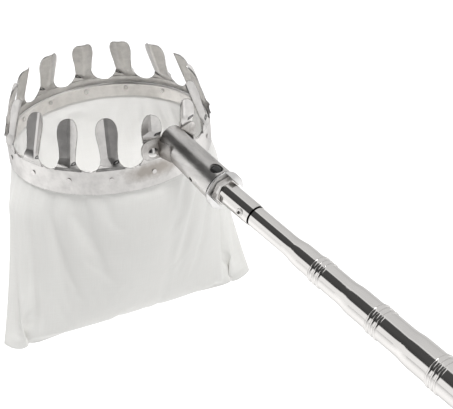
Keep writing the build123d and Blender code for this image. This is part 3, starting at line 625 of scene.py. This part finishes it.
def add_capsule(build, centre, along, normal):
    """One stitch: a thread that dips into the cloth at both ends."""
    side = along.cross(normal).normalized()
    rings = []
    for step in range(STITCH_RINGS):
        t = step / (STITCH_RINGS - 1) * 2 - 1
        radius = STITCH_R * (STITCH_END + (1 - STITCH_END) * math.sqrt(1 - t ** 4))
        height = STITCH_R * (STITCH_STAND - STITCH_DIP * t ** 2)
        middle = centre + along * (t * STITCH_LENGTH / 2) + normal * height
        ring = []
        for corner in range(STITCH_CORNERS):
            turn = corner * 2 * math.pi / STITCH_CORNERS
            offset = side * (math.cos(turn) * radius) + normal * (math.sin(turn) * radius)
            ring.append(build.verts.new(middle + offset))
        rings.append(ring)
    for first, second in zip(rings, rings[1:]):
        for corner in range(STITCH_CORNERS):
            after = (corner + 1) % STITCH_CORNERS
            build.faces.new((first[corner], first[after], second[after], second[corner]))
    build.faces.new(reversed(rings[0]))
    build.faces.new(rings[-1])


def build_stitching(mesh, index):
    """Thread along the bottom seam, on both sides, and either side of the side seam."""
    build = bmesh.new()
    bottom = BAG_ROWS - STITCH_ROWS_UP
    half = BAG_COLUMNS // 2
    for start in (0, half):
        columns = range(start + STITCH_MARGIN, start + half - STITCH_MARGIN + 1)
        add_stitches(build, stitch_path(mesh, index, [(bottom, column) for column in columns]))
    seam = SIDE_SEAM_TURN / (2 * math.pi) * BAG_COLUMNS
    pitch = 2 * math.pi * BAG_TOP_R / BAG_COLUMNS
    for aside in STITCH_LINES:
        rows = range(STITCH_MARGIN, BAG_ROWS - STITCH_MARGIN)
        places = [(row, seam + aside / pitch) for row in rows]
        add_stitches(build, stitch_path(mesh, index, places))
    data = bpy.data.meshes.new("bag_stitching")
    build.to_mesh(data)
    build.free()
    data.polygons.foreach_set("use_smooth", [True] * len(data.polygons))
    data.materials.append(thread("sewing_thread"))
    stitching = add_object("bag_stitching", data)
    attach(stitching, "head")
    return stitching


def hang_cloth(bag, flat):
    """Let the cloth fall from its loft to the shape that its flat cut takes."""
    mesh = bag.data
    bag.shape_key_add(name="Basis")
    key = bag.shape_key_add(name="flat_cut")
    key.data.foreach_set("co", flat.astype(np.float32).ravel())
    held = bag.vertex_groups.new(name="held")
    pinned = [v.index for v in mesh.vertices if v.co.z > BAG_PIN_Z]
    held.add(pinned, 1.0, "REPLACE")
    cloth = bag.modifiers.new("cloth", "CLOTH")
    settings = cloth.settings
    settings.quality = 6
    settings.mass = 0.04
    settings.air_damping = 3.0
    settings.tension_stiffness = 25.0
    settings.compression_stiffness = 25.0
    settings.shear_stiffness = 12.0
    settings.bending_stiffness = 0.15
    settings.vertex_group_mass = "held"
    settings.rest_shape_key = key
    cloth.collision_settings.use_collision = False
    cloth.collision_settings.use_self_collision = False
    scene = bpy.context.scene
    cloth.point_cache.frame_start = 1
    cloth.point_cache.frame_end = CLOTH_FRAMES
    for number in range(1, CLOTH_FRAMES + 1):
        scene.frame_set(number)
    evaluated = bag.evaluated_get(bpy.context.evaluated_depsgraph_get())
    points = np.zeros(len(mesh.vertices) * 3, np.float32)
    evaluated.data.vertices.foreach_get("co", points)
    bag.modifiers.remove(cloth)
    bag.shape_key_clear()
    mesh.vertices.foreach_set("co", points)
    mesh.update()
    scene.frame_set(1)


# ------------------------------------------------------------------ studio
def add_camera():
    data = bpy.data.cameras.new("camera")
    data.lens = CAMERA_LENS
    data.sensor_width = SENSOR_WIDTH
    data.clip_end = 50.0
    camera = add_object("camera", data)
    camera.location = direction(CAMERA_AZIMUTH, CAMERA_ELEVATION) * CAMERA_DISTANCE
    aim = (CAMERA_AIM - camera.location).to_track_quat("-Z", "Y")
    camera.rotation_mode = "QUATERNION"
    camera.rotation_quaternion = aim @ Matrix.Rotation(math.radians(CAMERA_ROLL), 3, "Z").to_quaternion()
    bpy.context.scene.camera = camera


def add_floor():
    """Pale floor that glows less on the side where the camera stands at rest."""
    lowest = cad_bounds[0][2] - FLOOR_DROP
    mesh = bpy.data.meshes.new("floor")
    half = FLOOR_SIZE / 2
    corners = [(-half, -half, lowest), (half, -half, lowest), (half, half, lowest), (-half, half, lowest)]
    mesh.from_pydata(corners, [], [(0, 1, 2, 3)])
    floor = add_object("floor", mesh)
    material, graph = new_material("floor_white")
    place = graph.add("ShaderNodeTexCoord").outputs["Object"]
    nearer = graph.vector("DOT_PRODUCT", place, direction(CAMERA_AZIMUTH, 0.0))
    glow = graph.scaled(nearer, FLOOR_FADE_START, FLOOR_FADE_END, FLOOR_GLOW, FLOOR_GLOW_NEAR)
    finish_surface(
        graph, Base_Color=grey(FLOOR_GREY), Roughness=1.0, Specular_IOR_Level=0.0,
        Emission_Color=grey(1.0), Emission_Strength=glow,
    )
    mesh.materials.append(material)


def add_world():
    """White tent, greyer at the far side, open to a dark room behind the camera."""
    world = bpy.data.worlds.new("studio")
    bpy.context.scene.world = world
    world.use_nodes = True
    graph = Graph(world.node_tree)
    towards = graph.add("ShaderNodeTexCoord").outputs["Generated"]
    split = graph.add("ShaderNodeSeparateXYZ", {0: towards})
    backwards = graph.math("MULTIPLY", split.outputs[1], -1.0)
    azimuth = graph.math("ARCTAN2", split.outputs[0], backwards)
    height = graph.math("ARCSINE", split.outputs[2])

    def between(value, angles, low=0.0, high=1.0):
        return graph.scaled(value, *map(math.radians, angles), low, high)

    room = graph.math("MULTIPLY", between(azimuth, ROOM_RIGHT), between(azimuth, ROOM_LEFT))
    room = graph.math("MULTIPLY", room, between(height, ROOM_BOTTOM))
    in_front = graph.scaled(backwards, *CEILING_FADE, 0.0, 1.0)
    ceiling = graph.math("MULTIPLY", between(height, CEILING_EDGE), in_front)
    ceiling = graph.math("MULTIPLY", ceiling, between(azimuth, CEILING_LEFT))
    dark = graph.math("MAXIMUM", room, ceiling)
    behind = graph.scaled(backwards, *FAR_FADE, 0.0, 1.0)
    far = graph.math("MULTIPLY", behind, between(height, FAR_EDGE))
    tent = graph.scaled(far, 0.0, 1.0, TENT_LEVEL, FAR_LEVEL)
    share = between(height, ROOM_SHARE_EDGE, ROOM_SHARE_LOW, ROOM_SHARE_HIGH)
    level = graph.math("MULTIPLY", tent, graph.scaled(dark, 0.0, 1.0, 1.0, share))
    background = graph.add("ShaderNodeBackground", {"Color": level, "Strength": 1.0})
    graph.add("ShaderNodeOutputWorld", {"Surface": background.outputs[0]})


def add_light(name, azimuth, elevation, size, watts, mirrored):
    """Square lamp that points at the origin."""
    data = bpy.data.lights.new(name, "AREA")
    data.size = size
    data.energy = watts
    light = add_object(name, data)
    light.visible_glossy = mirrored
    light.location = direction(azimuth, elevation) * LIGHT_DISTANCE
    light.rotation_euler = (-light.location).to_track_quat("-Z", "Y").to_euler()


def add_studio():
    bpy.context.scene.view_settings.view_transform = "Standard"
    add_world()
    add_floor()
    for light in LIGHTS:
        add_light(*light)


dress_cad_nodes()
build_bag()
add_camera()
add_studio()
